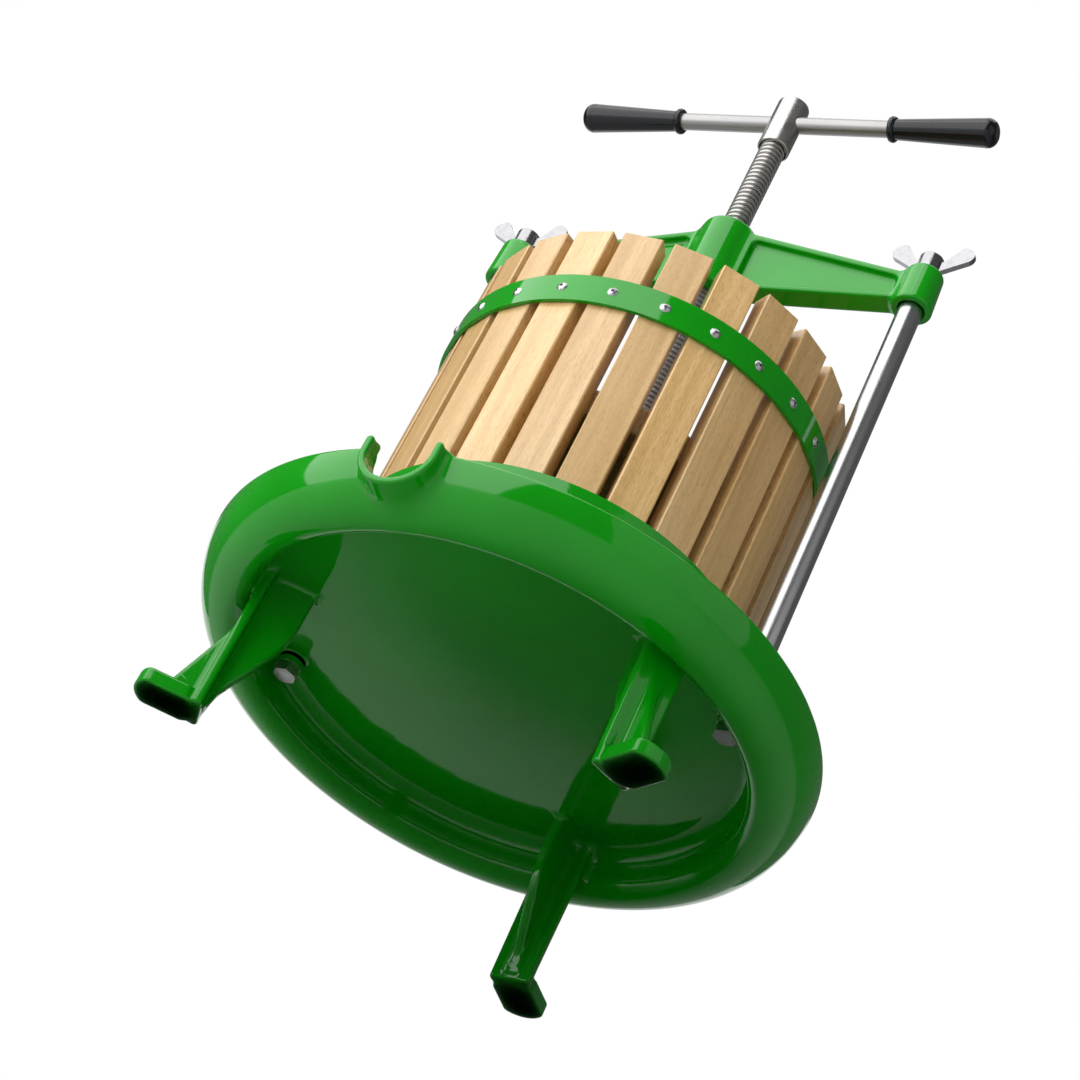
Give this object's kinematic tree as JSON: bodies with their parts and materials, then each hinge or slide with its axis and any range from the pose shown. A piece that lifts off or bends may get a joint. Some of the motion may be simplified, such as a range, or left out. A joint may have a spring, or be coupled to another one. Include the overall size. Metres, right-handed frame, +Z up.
{
  "type": "apple cider press",
  "caption": "Screw fruit press: slatted beech basket on a green cast dish with spout and legs, crossbeam on two uprights, spindle with tommy bar and a wooden press plate",
  "frame": {"origin": "on the floor under the spindle axis, at the middle of the three feet", "axes": "+Z up along the spindle; the spout points to -Y; the uprights stand on -X and +X, left and right as seen from the spout"},
  "size_m": [0.48, 0.49, 0.785],
  "materials": {
    "green_enamel": "gloss",
    "beech": "clear gloss varnish",
    "turned_steel": "turned, satin",
    "bright_zinc": "bright plated",
    "black_plastic": "gloss",
    "rivet_aluminium": "bright",
    "plated_steel": "dull plated",
    "cast_iron": "as cast"
  },
  "bodies": {
    "frame": {"base_dish": "green_enamel", "leg_left": "green_enamel", "leg_right": "green_enamel", "leg_rear": "green_enamel", "upright_left": "turned_steel", "upright_right": "turned_steel", "base_nuts": "plated_steel", "crossbeam": "green_enamel"},
    "basket": {"slat_01": "beech", "slat_02": "beech", "slat_03": "beech", "slat_04": "beech", "slat_05": "beech", "slat_06": "beech", "slat_07": "beech", "slat_08": "beech", "slat_09": "beech", "slat_10": "beech", "slat_11": "beech", "slat_12": "beech", "slat_13": "beech", "slat_14": "beech", "slat_15": "beech", "slat_16": "beech", "slat_17": "beech", "slat_18": "beech", "slat_19": "beech", "slat_20": "beech", "slat_21": "beech", "slat_22": "beech", "slat_23": "beech", "slat_24": "beech", "hoop_upper": "green_enamel", "hoop_lower": "green_enamel", "rivets_upper": "rivet_aluminium", "rivets_lower": "rivet_aluminium"},
    "press_plate": {"press_plate": "beech", "plate_socket": "cast_iron", "socket_screws": "plated_steel", "keeper_screw": "plated_steel"},
    "spindle": {"spindle": "turned_steel", "spindle_head": "turned_steel"},
    "tommy_bar": {"tommy_bar": "turned_steel", "grip_left": "black_plastic", "grip_right": "black_plastic"},
    "wing_nut_left": {"wing_nut_left": "bright_zinc"},
    "wing_nut_right": {"wing_nut_right": "bright_zinc"}
  },
  "joints": [
    {"name": "basket_lift", "type": "slide", "parent": "frame", "child": "basket", "axis": [0, 0, 1], "range_m": [0, 0.09]},
    {"name": "plate_slide", "type": "slide", "parent": "frame", "child": "press_plate", "axis": [0, 0, 1], "range_m": [-0.105, 0.196]},
    {"name": "spindle_turn", "type": "hinge", "parent": "press_plate", "child": "spindle", "pos_m": [0, 0, 0.335], "axis": [0, 0, 1], "range_deg": [-7500, 14040]},
    {"name": "tommy_bar_slide", "type": "slide", "parent": "spindle", "child": "tommy_bar", "axis": [1, 0, 0], "range_m": [-0.08, 0.08]},
    {"name": "wing_nut_left_turn", "type": "hinge", "parent": "frame", "child": "wing_nut_left", "pos_m": [-0.18, 0, 0.595], "axis": [0, 0, 1], "range_deg": [0, 720]},
    {"name": "wing_nut_right_turn", "type": "hinge", "parent": "frame", "child": "wing_nut_right", "pos_m": [0.18, 0, 0.595], "axis": [0, 0, 1], "range_deg": [0, 720]}
  ],
  "couplings": [
    {"joint": "plate_slide", "follows": "spindle_turn", "m_per_rad": 0.00079577}
  ]
}
